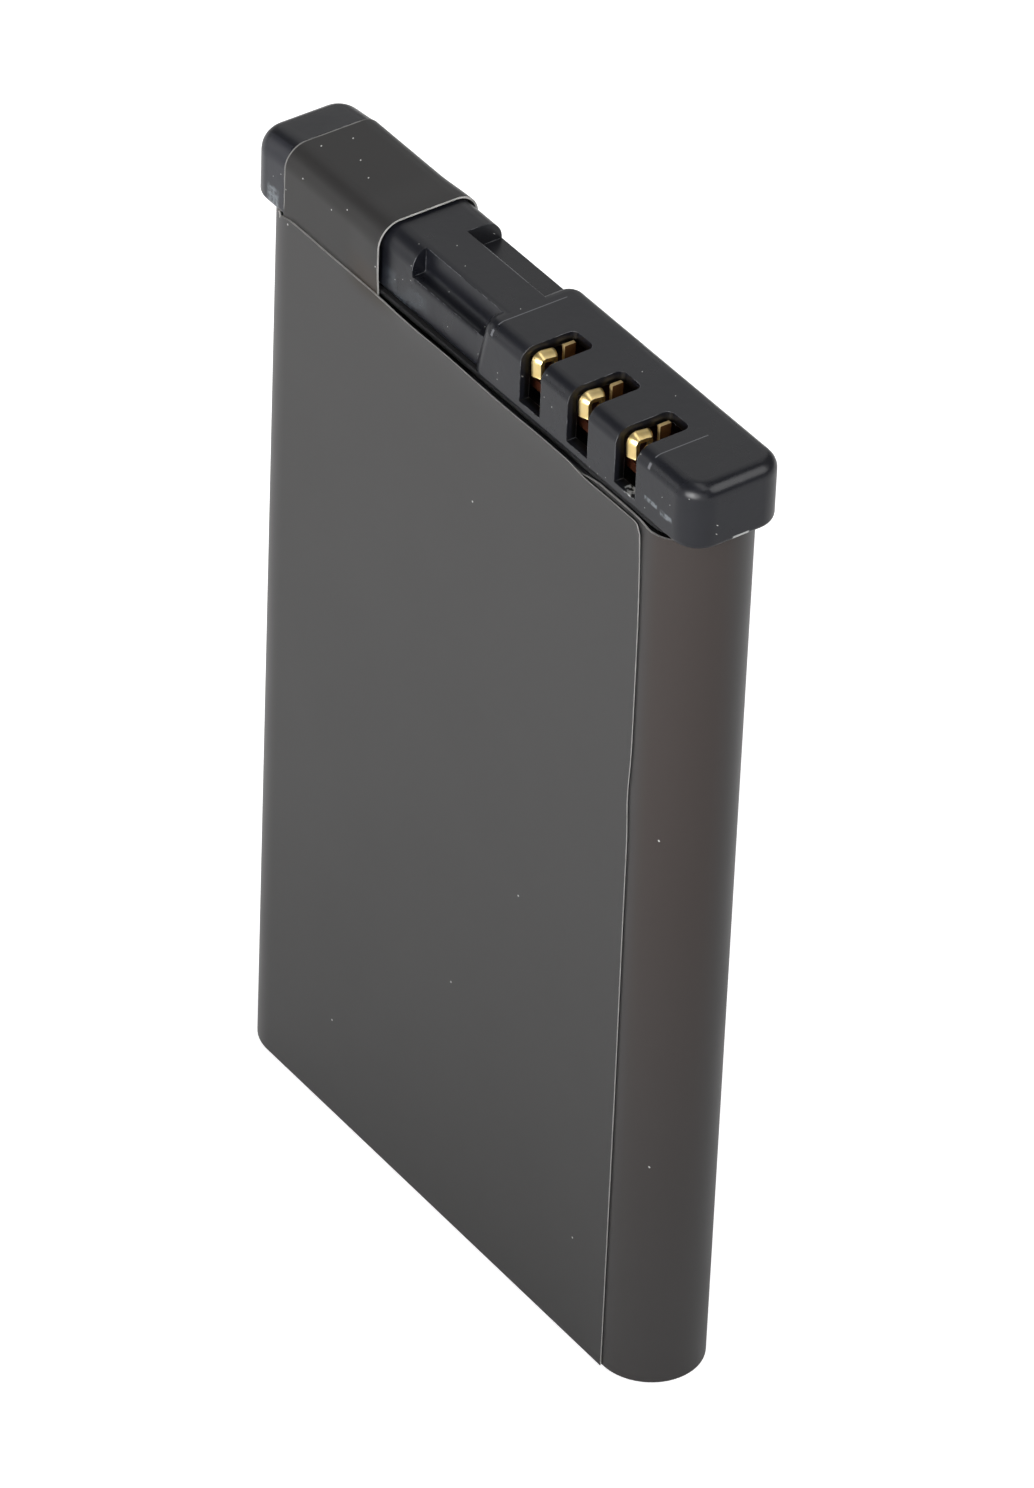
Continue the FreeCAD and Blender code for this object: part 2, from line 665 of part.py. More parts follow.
    shell = doc.addObject("Part::MultiFuse", "cap_shell")
    shell.Shapes = [bar, block, boss]
    shell.Refine = True
    tools = [hollow]
    for k in range(3):
        slot = new_body(f"slot_tool_{k + 1}")
        centre = slot_centre(k)
        edges = [
            (f"{centre} - slot_width / 2", f"{BLOCK_FRONT} - cap_wall"),
            (f"{centre} + slot_width / 2", f"{BLOCK_FRONT} - cap_wall"),
            (f"{centre} + slot_width / 2", SLOT_REAR, "slot_corner_round"),
            (f"{centre} - slot_width / 2", SLOT_REAR, "slot_corner_round"),
        ]
        sill = f"({CAP_FOOT} + slot_sill)"
        slot_plan = outline(slot, f"slot_outline_{k + 1}", "XY_Plane", edges, sill)
        pad(slot, f"slot_{k + 1}", slot_plan, "cap_height")
        tools.append(slot)
    cutter = doc.addObject("Part::MultiFuse", "cap_cutter")
    cutter.Shapes = tools
    cap = doc.addObject("Part::Cut", "top_cap")
    cap.Base = shell
    cap.Tool = cutter
    cap.Refine = True
    doc.recompute()
    keep("top_cap", cap)


def make_film():
    """Dark film wound once round the cell; its outer end lies on the front, its tab over the cap."""
    body = new_body("label_film")
    inner = f"({HALF_DEPTH} + film_gap)"
    outer = f"({inner} + film)"
    panel_in = f"({outer} + film_gap)"
    panel_out = f"({panel_in} + film)"
    lift = f"({FILM_STEP} / 2)"
    sketch = new_sketch(body, "film_section", "XY_Plane", "film_foot")
    reach = value(STRAIGHT)
    under_end = value(UNDER_END)
    seam = value(SEAM)
    r_in, r_out, p_in, p_out, rise = (value(text) for text in (inner, outer, panel_in, panel_out, lift))
    straight_line(sketch, under_end, -r_out, reach, -r_out)
    sketch.addGeometry(half_round(reach, 0.0, r_out, 1))
    straight_line(sketch, reach, r_out, -reach, r_out)
    sketch.addGeometry(half_round(-reach, -rise, r_out + rise, -1))
    straight_line(sketch, -reach, -p_out, seam, -p_out)
    straight_line(sketch, seam, -p_out, seam, -p_in)
    straight_line(sketch, seam, -p_in, -reach, -p_in)
    sketch.addGeometry(half_round(-reach, -rise, r_in + rise, -1))
    straight_line(sketch, -reach, r_in, reach, r_in)
    sketch.addGeometry(half_round(reach, 0.0, r_in, 1))
    straight_line(sketch, reach, -r_in, under_end, -r_in)
    straight_line(sketch, under_end, -r_in, under_end, -r_out)
    outside = ((0, 2, 1, 1), (1, 2, 2, 1), (2, 2, 3, 1), (3, 2, 4, 1))
    inside = ((6, 2, 7, 2), (7, 1, 8, 1), (8, 2, 9, 2), (9, 1, 10, 1))
    for joint in outside + inside:
        sketch.addConstraint(Sketcher.Constraint("Tangent", *joint))
    for joint in ((4, 2, 5, 1), (5, 2, 6, 1), (10, 2, 11, 1), (11, 2, 0, 1)):
        sketch.addConstraint(Sketcher.Constraint("Coincident", *joint))
    for level in (0, 2, 4, 6, 8, 10):
        sketch.addConstraint(Sketcher.Constraint("Horizontal", level))
    for upright in (5, 11):
        sketch.addConstraint(Sketcher.Constraint("Vertical", upright))
    hold(sketch, "DistanceX", (-1, 1, 0, 1), UNDER_END)
    hold(sketch, "DistanceX", (-1, 1, 5, 1), SEAM)
    place_point(sketch, 1, 3, STRAIGHT, "0")
    hold(sketch, "Radius", (1,), outer)
    hold(sketch, "DistanceX", (-1, 1, 3, 3), f"-{STRAIGHT}")
    hold(sketch, "Radius", (3,), f"({outer} + {lift})")
    hold(sketch, "DistanceY", (-1, 1, 6, 1), f"-{panel_in}")
    hold(sketch, "DistanceX", (-1, 1, 7, 3), f"-{STRAIGHT}")
    hold(sketch, "Radius", (7,), f"({inner} + {lift})")
    hold(sketch, "DistanceX", (-1, 1, 9, 3), STRAIGHT)
    hold(sketch, "Radius", (9,), inner)
    pad(body, "wrap", sketch, "can_height - film_foot")
    rim = rectangle(
        body, "panel_rim_outline", "XY_Plane",
        f"-{STRAIGHT}", SEAM, f"-{panel_out}", f"-{panel_in}", "can_height",
    )
    raised = pad(body, "panel_rim", rim, "panel_rise")
    top = value("can_height + panel_rise")
    fillet(
        body, "panel_corner", raised, "film_corner_round",
        lambda edge: lies_at(edge, "Z", top) and lies_at(edge, "X", seam),
    )
    under = f"({CAP_TOP} + film_gap)"
    over = f"({under} + film)"
    end = "(can_height - tab_tuck)"
    tab = [
        (outer, end),
        (outer, over, f"(bar_top_round + {FILM_STEP})"),
        (f"-{outer}", over, f"(bar_top_round + {FILM_STEP})"),
        (f"-{outer}", end),
        (f"-{inner}", end),
        (f"-{inner}", under, "(bar_top_round + film_gap)"),
        (inner, under, "(bar_top_round + film_gap)"),
        (inner, end),
    ]
    pad(body, "tab", outline(body, "tab_section", "YZ_Plane", tab, TAB_LEFT), f"{TAB_RIGHT} - {TAB_LEFT}")
    keep("label_film", body)


make_cell()
make_terminal()
make_pad()
make_strips()
make_board()
for k, name in enumerate(("contact_negative", "contact_sense", "contact_positive")):
    make_contact(name, slot_centre(k))
make_cap()
make_film()
doc.recompute()

for item in doc.Objects:
    if "Invalid" in item.State or "Error" in item.State:
        raise ValueError(f"{item.Label} did not build: {item.State}")
for name, piece in parts.items():
    if piece.Shape.isNull() or not piece.Shape.isValid():
        raise ValueError(f"{name} has no valid shape")
os.makedirs("parts", exist_ok=True)
for name, piece in parts.items():
    piece.Shape.exportStep(f"parts/{name}.step")
    print(f"{name}: {len(piece.Shape.Solids)} solid, {piece.Shape.Volume:.3f} cubic mm")
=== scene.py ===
"""Looks of a removable phone battery: a wrapped aluminium cell with a slotted moulded cap.

Places and sizes are in millimetres, in the part's own frame; MM turns them into metres.
"""

import math

import bmesh
import bpy
import numpy as np
from mathutils import Matrix


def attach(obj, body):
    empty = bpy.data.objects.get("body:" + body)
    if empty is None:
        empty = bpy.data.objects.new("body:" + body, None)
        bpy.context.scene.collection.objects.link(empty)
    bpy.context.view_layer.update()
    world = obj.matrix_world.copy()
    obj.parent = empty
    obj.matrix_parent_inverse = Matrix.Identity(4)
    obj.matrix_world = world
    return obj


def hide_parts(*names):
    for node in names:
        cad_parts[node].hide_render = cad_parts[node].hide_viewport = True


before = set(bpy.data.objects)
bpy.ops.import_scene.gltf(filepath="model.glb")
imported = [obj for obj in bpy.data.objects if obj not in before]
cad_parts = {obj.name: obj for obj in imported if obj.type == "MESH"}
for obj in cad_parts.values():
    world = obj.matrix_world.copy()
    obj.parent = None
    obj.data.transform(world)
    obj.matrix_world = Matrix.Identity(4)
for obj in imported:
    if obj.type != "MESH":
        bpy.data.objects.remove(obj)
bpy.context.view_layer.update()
MM = 0.001

# Sealed cell
# A can deep-drawn from aluminium sheet, with a lid welded in at the top and a plug pressed
# into the filling hole. The film covers its sides, so only the flat bottom end stays bare.


def linear(code):
    """An sRGB hex colour as linear red, green and blue, with full alpha."""
    channels = np.array([int(code[k:k + 2], 16) for k in (1, 3, 5)]) / 255
    light = np.where(channels <= 0.04045, channels / 12.92, ((channels + 0.055) / 1.055) ** 2.4)
    return (*light.tolist(), 1.0)


def add_node(tree, kind, settings=None, links=None):
    """Add a node, give its properties and sockets their values, and link outputs to its sockets."""
    node = tree.nodes.new(kind)
    for name, setting in (settings or {}).items():
        if isinstance(name, str) and hasattr(node, name):
            setattr(node, name, setting)
        else:
            node.inputs[name].default_value = setting
    for name, source in (links or {}).items():
        tree.links.new(source, node.inputs[name])
    return node


def new_material(name):
    """An empty material's node tree, and where its texture coordinates come from."""
    material = bpy.data.materials.new(name)
    material.use_nodes = True
    tree = material.node_tree
    tree.nodes.clear()
    return material, tree, add_node(tree, "ShaderNodeTexCoord").outputs["Object"]


def close_material(tree, settings, links):
    """The surface itself: its constants, and what drives its colour, roughness and normal."""
    surface = add_node(tree, "ShaderNodeBsdfPrincipled", settings, links)
    add_node(tree, "ShaderNodeOutputMaterial", {}, {"Surface": surface.outputs[0]})


def layers(tree, base, *coats):
    """Colours laid over a base, each with its amount; a colour is a hex value or an output.

    Where a coat has a list of amounts, the largest of them counts.
    """
    for amounts, colour in coats:
        if not isinstance(amounts, list):
            amounts = [amounts]
        most = amounts[0]
        for amount in amounts[1:]:
            step = add_node(tree, "ShaderNodeMath", {"operation": "MAXIMUM"}, {0: most, 1: amount})
            most = step.outputs[0]
        settings = {"data_type": "RGBA"}
        links = {0: most}
        for socket, shade in ((6, base), (7, colour)):
            if isinstance(shade, str):
                settings[socket] = linear(shade)
            else:
                links[socket] = shade
        base = add_node(tree, "ShaderNodeMix", settings, links).outputs[2]
    return base


def grained(name, dark, light, grain, rough, depth, settings=None, stretch=(1, 1, 1)):
    """A material with one noise in its colour, roughness and height; grain and depth in mm."""
    material, tree, place = new_material(name)
    scale = [1 / (grain * MM * length) for length in stretch]
    spread = add_node(tree, "ShaderNodeMapping", {"Scale": scale}, {"Vector": place})
    grains = add_node(tree, "ShaderNodeTexNoise", {"Scale": 1.0, "Detail": 4.0}, {0: spread.outputs[0]})
    level = grains.outputs["Fac"]
    limits = {"To Min": rough[0], "To Max": rough[1]}
    gloss = add_node(tree, "ShaderNodeMapRange", limits, {"Value": level})
    bump = add_node(tree, "ShaderNodeBump", {"Strength": 1.0, "Distance": depth * MM}, {"Height": level})
    colour = layers(tree, dark, (level, light))
    close_material(
        tree, settings or {},
        {"Base Color": colour, "Roughness": gloss.outputs[0], "Normal": bump.outputs[0]},
    )
    return material


def dress(material, *names):
    """Give CAD nodes that stay in view this material."""
    for name in names:
        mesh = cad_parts[name].data
        mesh.materials.clear()
        mesh.materials.append(material)


SMOOTH = {"interpolation_type": "SMOOTHSTEP"}


def zone(tree, parts, *others, across=None, deep=None, up=None):
    """1 in a box in mm, falling smoothly to 0 over a fade outside it, times the other values.

    Each range is its low end, its high end and the fade; None leaves that end open.
    """
    amounts = list(others)
    for part, limits in zip(parts, (across, deep, up)):
        low, high, fade = limits or (None, None, 0)
        if low is not None:
            rise = {**SMOOTH, "From Min": (low - fade) * MM, "From Max": low * MM}
            amounts.append(add_node(tree, "ShaderNodeMapRange", rise, {"Value": part}).outputs[0])
        if high is not None:
            fall = {**SMOOTH, "From Min": high * MM, "From Max": (high + fade) * MM}
            fall.update({"To Min": 1.0, "To Max": 0.0})
            amounts.append(add_node(tree, "ShaderNodeMapRange", fall, {"Value": part}).outputs[0])
    product = amounts[0]
    for amount in amounts[1:]:
        step = add_node(tree, "ShaderNodeMath", {"operation": "MULTIPLY"}, {0: product, 1: amount})
        product = step.outputs[0]
    return product


# bright sheet with fine streaks along the way it was drawn
aluminium = grained(
    "drawn aluminium", "#b9bbbd", "#cfd1d2", 0.12, (0.26, 0.42), 0.002, {"Metallic": 1.0}, (1, 1, 40),
)
# painted shade: the lid's top, seen in the gap under the cap, is painted near black as shadow, less dark
# along the contacts
tree = aluminium.node_tree
can_colour = tree.nodes["Principled BSDF"].inputs["Base Color"]
place = tree.nodes["Texture Coordinate"].outputs["Object"]
parts = add_node(tree, "ShaderNodeSeparateXYZ", {}, {"Vector": place}).outputs
less_lid_shade = zone(tree, parts, across=(1.0, None, 1.0))
full_lid_shade_again = zone(tree, parts, across=(12.8, None, 0.8))
glue_and_shade = layers(tree, "#070606", (less_lid_shade, "#5a5a5e"), (full_lid_shade_again, "#070606"))
shaded_lid = zone(tree, parts, up=(49.6, None, 0.1))
tree.links.new(layers(tree, can_colour.links[0].from_socket, (shaded_lid, glue_and_shade)), can_colour)
dress(aluminium, "cell_can", "fill_plug")

# Negative pole
# A nickel-plated rivet through the lid's middle. A gasket moulded from polypropylene holds it
# off the lid and seals the hole.
gasket_plastic = grained("natural polypropylene", "#c9c8c2", "#dad9d4", 0.3, (0.45, 0.6), 0.003)
dress(gasket_plastic, "terminal_gasket")
nickel = grained(
    "rolled nickel", "#a3a09a", "#bdbab3", 0.05, (0.22, 0.4), 0.002, {"Metallic": 1.0}, (30, 1, 1),
)
dress(nickel, "negative_terminal")

# Adhesive pad
# Black foam tape with glue on both faces, cut to the lid's outline with windows for the pole and
# a weld; it holds the cap to the lid.
pad_foam = grained("black foam tape", "#08080a", "#151517", 0.08, (0.75, 0.95), 0.02)
dress(pad_foam, "cap_pad")

# Strips and fuse
# Nickel strips cut from rolled sheet and spot-welded to the lid, the pole and the board, with a
# flat polymer fuse in the line from the pole.
dress(nickel, "positive_strip", "terminal_strip", "fuse_strip")
fuse_polymer = grained("fuse polymer", "#3a3028", "#4d4136", 0.15, (0.5, 0.7), 0.004)
dress(fuse_polymer, "thermal_fuse")

# Protection board
# Glass-cloth laminate under red-brown lacquer. Two chips moulded in epoxy, two resistors and a
# ceramic capacitor are soldered to it.
laminate = grained("lacquered laminate", "#2b130c", "#43200f", 0.2, (0.3, 0.45), 0.004)
dress(laminate, "protection_board")
epoxy = grained("moulded epoxy", "#121214", "#1e1e20", 0.06, (0.5, 0.7), 0.004)
dress(epoxy, "protection_chip", "switch_transistor", "sense_resistor", "identity_resistor")
ceramic = grained("capacitor ceramic", "#7c6249", "#937659", 0.1, (0.4, 0.55), 0.003)
dress(ceramic, "filter_capacitor")

# Contacts
# Three forks stamped from bronze sheet and plated with gold, soldered to the board by a long foot.
# The two prongs of a fork bend round the slot's corner and lean inwards; two leaves stand behind.
CONTACT_CENTRES = {"contact_negative": 5.06, "contact_sense": 8.72, "contact_positive": 12.38}
CONTACT_SHEET = 0.2
PRONG_OUTSIDE = 0.675
PRONG_INSIDE = 0.225
PRONG_LEAN = 0.2
FOOT_TOP = 51.45
LEG_FACE = -0.87
BEND = 0.15
LEAF_DEPTH = (-0.5, 0.1)
LEAF_HEIGHT = (51.35, 52.95)


def bent(corners, radii, stations, grain=24):
    """Points and right-hand normals along straight runs joined by arcs, at stations from 0 to 1.

    At a corner the arc is tangent to both runs: it starts at radius times tan(half the turn)
    before the corner, and its points are the tangent point turned about the arc's centre.
    """
    corners = np.array(corners, float)
    runs = np.diff(corners, axis=0)
    runs /= np.linalg.norm(runs, axis=1)[:, None]
    pieces = [corners[:1]]
    for corner, radius, before, after in zip(corners[1:-1], radii, runs[:-1], runs[1:]):
        turn = math.atan2(before[0] * after[1] - before[1] * after[0], before @ after)
        start = corner - before * radius * math.tan(abs(turn) / 2)
        side = np.array([-before[1], before[0]]) * math.copysign(radius, turn)
        angle = np.linspace(0, turn, grain)[:, None]
        pieces.append(start + side - side * np.cos(angle) + before * radius * np.sin(np.abs(angle)))
    line = np.concatenate([*pieces, corners[-1:]])
    length = np.concatenate([[0], np.cumsum(np.linalg.norm(np.diff(line, axis=0), axis=1))])
    spots = np.asarray(stations) * length[-1]

    def along(shift):
        """Points at the stations, moved along the line by a small shift."""
        return np.column_stack([np.interp(spots + shift, length, line[:, k]) for k in (0, 1)])

    ahead = along(0.01) - along(-0.01)
    ahead /= np.linalg.norm(ahead, axis=1)[:, None]
    return along(0), np.column_stack([ahead[:, 1], -ahead[:, 0]])


def sheet(name, outer, inner, *materials):
    """A closed sheet between two grids of points: both skins, and a cut edge along each rim."""
    rows, columns = outer.shape[:2]
    front = np.arange(rows * columns).reshape(rows, columns)
    back = front + rows * columns

    def quads(a, b):
        """Faces between two rows of points that run side by side."""
        return np.stack([a[:-1], b[:-1], b[1:], a[1:]], axis=-1).reshape(-1, 4)

    skin = quads(front[:, 1:], front[:, :-1])
    lining = quads(back[:, :-1], back[:, 1:])
    rims = np.concatenate([
        quads(front[:, 0], back[:, 0]), quads(back[:, -1], front[:, -1]),
        quads(back[0], front[0]), quads(front[-1], back[-1]),
    ])
    mesh = bpy.data.meshes.new(name)
    points = np.concatenate([outer.reshape(-1, 3), inner.reshape(-1, 3)]) * MM
    mesh.from_pydata(points, [], np.concatenate([skin, lining, rims]).tolist())
    for material in materials:
        mesh.materials.append(material)
    last = len(materials) - 1
    finish = np.repeat([0, last, last], [len(skin), len(lining), len(rims)])
    mesh.polygons.foreach_set("material_index", finish.astype(np.int32))
    mesh.polygons.foreach_set("use_smooth", np.ones(len(finish), bool))
    mesh.set_sharp_from_angle(angle=math.radians(40))
    piece = bpy.data.objects.new(name, mesh)
    bpy.context.scene.collection.objects.link(piece)
    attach(piece, "root")
    return piece


def strip(name, line, out, across, fall, thickness, *materials):
    """A sheet bent along a line in the YZ plane and laid across X; fall sinks it along its normal."""
    outer = np.empty((len(line), len(across), 3))
    outer[..., 0] = across
    outer[..., 1] = line[:, :1] - out[:, :1] * fall
    outer[..., 2] = line[:, 1:] - out[:, 1:] * fall
    inner = outer.copy()
    inner[..., 1] -= thickness * out[:, :1]
    inner[..., 2] -= thickness * out[:, 1:]
    return sheet(name, outer, inner, *materials)


# bright plate on rolled sheet, a little uneven
gold = grained("gold plate", "#f2d080", "#fce6ae", 0.4, (0.26, 0.38), 0.002, {"Metallic": 1.0})
# painted shade: the leaves' flat sides are gold painted dark brown as shade, and their bright rims a
# paler gold
shaded_gold = grained("gold in painted shade", "#442a14", "#6f4824", 0.2, (0.3, 0.5), 0.003, {"Metallic": 0.5})
rim_gold = grained("rubbed gold rim", "#b89a64", "#dcc490", 0.15, (0.3, 0.45), 0.003, {"Metallic": 0.3})
prong_line, prong_out = bent(
    [(1.2, FOOT_TOP), (LEG_FACE, FOOT_TOP), (LEG_FACE, 52.97), (-2.22, 53.14), (-2.17, 51.85)],
    [BEND, 0.3, 0.5], np.linspace(0, 1, 110),
)
heel_line, heel_out = bent(
    [(1.2, FOOT_TOP), (LEG_FACE, FOOT_TOP), (LEG_FACE, 51.7)], [BEND], np.linspace(0, 1, 24),
)
for name, centre in CONTACT_CENTRES.items():
    pieces = []
    for hand, near, far, leaf_face in (
        ("left", -PRONG_OUTSIDE, -PRONG_INSIDE, -PRONG_OUTSIDE + CONTACT_SHEET),
        ("right", PRONG_INSIDE, PRONG_OUTSIDE, PRONG_OUTSIDE),
    ):
        across = np.linspace(near, far, 9)
        # the inner side sinks in a curve, less so towards the foot
        inward = (PRONG_OUTSIDE - np.abs(across)) / (PRONG_OUTSIDE - PRONG_INSIDE)
        fade = np.clip((prong_line[:, 1:] - 51.5) / 0.4, 0, 1)
        fall = PRONG_LEAN * inward ** 1.5 * fade
        prong = f"{name}_{hand}_prong"
        pieces.append(strip(prong, prong_line, prong_out, centre + across, fall, CONTACT_SHEET, gold))
        depth, height = np.meshgrid(
            np.linspace(*LEAF_DEPTH, 7), np.linspace(*LEAF_HEIGHT, 12), indexing="ij",
        )
        outer = np.stack([np.full_like(depth, centre + leaf_face), depth, height], axis=-1)
        inner = outer - [CONTACT_SHEET, 0, 0]
        pieces.append(sheet(f"{name}_{hand}_leaf", outer, inner, shaded_gold, rim_gold))
    flat = np.linspace(-PRONG_INSIDE, PRONG_INSIDE, 3)
    pieces.append(strip(f"{name}_heel", heel_line, heel_out, centre + flat, 0, CONTACT_SHEET, gold))
    for piece in pieces:
        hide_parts(name)

# Cap
# One injection moulding of black plastic, glued to the lid and held by the film's tab.
# A bar with two rebates and a rib joins a raised end to the block with the contact slots.


def smooth_copy(node, name, material):
    """A merged copy of a CAD node whose rounds are shaded smooth between its flat faces."""
    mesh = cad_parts[node].data.copy()
    mesh.name = name
    stored = mesh.attributes.get("custom_normal")
    if stored:
        mesh.attributes.remove(stored)
    build = bmesh.new()
    build.from_mesh(mesh)
    bmesh.ops.remove_doubles(build, verts=build.verts, dist=1e-7)
    bmesh.ops.dissolve_limit(
        build, angle_limit=math.radians(0.3), verts=build.verts, edges=build.edges, delimit={"NORMAL"},
    )
    for edge in build.edges:
        edge.smooth = edge.calc_face_angle(0.0) < math.radians(30)
    build.to_mesh(mesh)
    build.free()
    mesh.materials.clear()
    mesh.materials.append(material)
    mesh.polygons.foreach_set("use_smooth", np.ones(len(mesh.polygons), bool))
    piece = bpy.data.objects.new(name, mesh)
    bpy.context.scene.collection.objects.link(piece)
    weigh = piece.modifiers.new("weigh flats", "WEIGHTED_NORMAL")
    weigh.keep_sharp = True
    weigh.weight = 100
    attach(piece, "root")
    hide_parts(node)
    return piece


def patches(tree, place, grain, detail, low, high, least=0.0, most=1.0):
    """Patches with grains of that size in mm: least where their noise is under low, most over high."""
    settings = {"Scale": 1 / (grain * MM), "Detail": detail}
    cloudy = add_node(tree, "ShaderNodeTexNoise", settings, {"Vector": place})
    limits = {**SMOOTH, "From Min": low, "From Max": high, "To Min": least, "To Max": most}
    return add_node(tree, "ShaderNodeMapRange", limits, {"Value": cloudy.outputs["Fac"]}).outputs[0]


def dust(tree, place, spacing, size, share):
    """1 on specks of dust of that size in mm, in that share of the cells of the given spacing.

    The cells are flat: depth is added to width and height, so that front, top and side all show them.
    """
    flat = add_node(tree, "ShaderNodeCombineXYZ")
    for socket, shares in enumerate(((1, 0.5, 0), (0, 0.8, 1))):
        settings = {"operation": "DOT_PRODUCT", 1: shares}
        step = add_node(tree, "ShaderNodeVectorMath", settings, {0: place})
        tree.links.new(step.outputs["Value"], flat.inputs[socket])
    settings = {"voronoi_dimensions": "2D", "Scale": 1 / (spacing * MM)}
    cells = add_node(tree, "ShaderNodeTexVoronoi", settings, {"Vector": flat.outputs[0]})
    pick = add_node(tree, "ShaderNodeSeparateColor", {}, {"Color": cells.outputs["Color"]})
    near = {**SMOOTH, "From Min": 0.5 * size / spacing, "From Max": 0.35 * size / spacing}
    speck = add_node(tree, "ShaderNodeMapRange", near, {"Value": cells.outputs["Distance"]})
    chance = {**SMOOTH, "From Min": 1 - share, "From Max": 1 - share * 0.9}
    picked = add_node(tree, "ShaderNodeMapRange", chance, {"Value": pick.outputs[0]})
    both = {0: speck.outputs[0], 1: picked.outputs[0]}
    return add_node(tree, "ShaderNodeMath", {"operation": "MULTIPLY"}, both).outputs[0]


# black plastic from a spark-eroded mould: satin, with a fine grain, and edges painted a little lighter,
# partly rubbed wear and partly painted highlight
cap_plastic, tree, place = new_material("black moulded plastic")
parts = add_node(tree, "ShaderNodeSeparateXYZ", {}, {"Vector": place}).outputs
FRONT_SIDE = (-3.0, -2.2, 0.1)
CLOUD = 2.5
settings = {"Scale": 1 / (CLOUD * MM), "Detail": 4.0}
cloud = add_node(tree, "ShaderNodeTexNoise", settings, {"Vector": place}).outputs["Fac"]
rounded = add_node(tree, "ShaderNodeBevel", {"samples": 6, "Radius": 0.06 * MM}).outputs[0]
facing = add_node(tree, "ShaderNodeNewGeometry").outputs["Normal"]
# the front rebate's floor runs softly into its wall and over the front edge
soft = add_node(tree, "ShaderNodeBevel", {"samples": 8, "Radius": 0.45 * MM}).outputs[0]
channel = zone(tree, parts, across=(-4.5, 0.4, 0.1), deep=(-2.6, -1.4, 0.1), up=(51.3, 52.8, 0.2))
mixed = add_node(tree, "ShaderNodeMix", {"data_type": "VECTOR"}, {0: channel, 4: rounded, 5: soft})
shaded = mixed.outputs[1]
# edges are where the rounded normal leaves the face's own; in patches they are painted lighter, partly as
# rubbed wear and partly as painted highlight
meet = add_node(tree, "ShaderNodeVectorMath", {"operation": "DOT_PRODUCT"}, {0: rounded, 1: facing})
bend = {**SMOOTH, "From Min": 0.985, "From Max": 0.9}
edges = add_node(tree, "ShaderNodeMapRange", bend, {"Value": meet.outputs["Value"]}).outputs[0]
rubbed_and_lit_edges = zone(tree, parts, edges, patches(tree, place, 0.5, 4.0, 0.42, 0.6))
# painted highlights: two fine light lines where an insert of the mould met the rest, standing for light
# caught by its small step; over the front edge they end in painted highlight spots
top_side = zone(tree, parts, up=(52.8, 54.0, 0.2))
seam_highlights = [
    zone(tree, parts, top_side, across=(1.975, 2.0, 0.03), deep=(-2.3, 1.4, 0.1)),
    zone(tree, parts, top_side, across=(14.04, 14.065, 0.03), deep=(-2.3, 0.5, 0.1)),
    zone(tree, parts, top_side, across=(1.9, 2.0, 0.04), up=(52.85, 53.05, 0.08)),
    zone(tree, parts, top_side, across=(14.0, 14.1, 0.06), up=(52.85, 53.05, 0.08)),
]
# painted highlight along the rib's rear edge, over part of its length
rib_highlight = zone(tree, parts, across=(-3.3, -0.1, 0.3), deep=(0.6, 0.68, 0.03), up=(53.3, 53.5, 0.05))
# dried glue in patches on the bar's front by the film, and a haze on the raised end's front
blotches = patches(tree, place, 0.7, 8.0, 0.44, 0.62)
thickness = patches(tree, place, CLOUD, 4.0, 0.0, 1.0, 0.3, 0.9)
glue_and_shade = zone(
    tree, parts, blotches, thickness,
    across=(-6.3, -4.0, 1.0), deep=FRONT_SIDE, up=(50.2, 51.2, 0.4),
)
haze = zone(tree, parts, across=(-18.0, -14.0, 0.2), deep=FRONT_SIDE)
# a torn whitish edge under the slot nearest the end, and a scuff low on the right end
ragged = patches(tree, place, 0.25, 6.0, 0.4, 0.55)
torn = zone(tree, parts, ragged, across=(12.2, 13.1, 0.1), deep=FRONT_SIDE, up=(50.54, 50.6, 0.04))
scuff = zone(tree, parts, across=(17.0, 18.0, 0.1), deep=(-0.35, 0.45, 0.08), up=(50.12, 50.26, 0.04))
# pale strokes right of the slots and low on the raised end
streaky = patches(tree, place, 0.25, 5.0, 0.35, 0.6, 0.1, 0.8)
strokes = [
    zone(tree, parts, streaky, across=(13.95, 14.75, 0.12), deep=FRONT_SIDE, up=(51.12, 51.24, 0.1)),
    zone(tree, parts, streaky, across=(15.15, 15.85, 0.15), deep=FRONT_SIDE, up=(51.0, 51.16, 0.12)),
    zone(tree, parts, streaky, across=(-15.8, -15.1, 0.2), deep=FRONT_SIDE, up=(50.0, 50.7, 0.3)),
]
# painted shade: the slots' walls are painted near black, darker than the outside
HALF_SLOT = 0.83
slot_shade = []
for centre in CONTACT_CENTRES.values():
    wide = (centre - HALF_SLOT, centre + HALF_SLOT, 0.03)
    slot_shade.append(zone(tree, parts, across=wide, deep=(-2.4, 0.28, 0.1), up=(50.0, 53.0, 0.2)))
specks = [dust(tree, place, 0.6, 0.06, 0.06), dust(tree, place, 2.0, 0.1, 0.06)]
colour = layers(
    tree, "#111217",
    (cloud, "#16171d"), (haze, "#25262c"), (glue_and_shade, "#363b40"), (strokes, "#70767b"), (slot_shade, "#030303"),
    ([rubbed_and_lit_edges, *seam_highlights, rib_highlight], "#606165"), ([torn, scuff], "#a3a5a4"), (specks, "#b4b4b2"),
)
ripple = add_node(tree, "ShaderNodeTexNoise", {"Scale": 1 / (0.6 * MM), "Detail": 2.0}, {"Vector": place})
grain = add_node(tree, "ShaderNodeTexNoise", {"Scale": 1 / (0.05 * MM), "Detail": 4.0}, {"Vector": place})
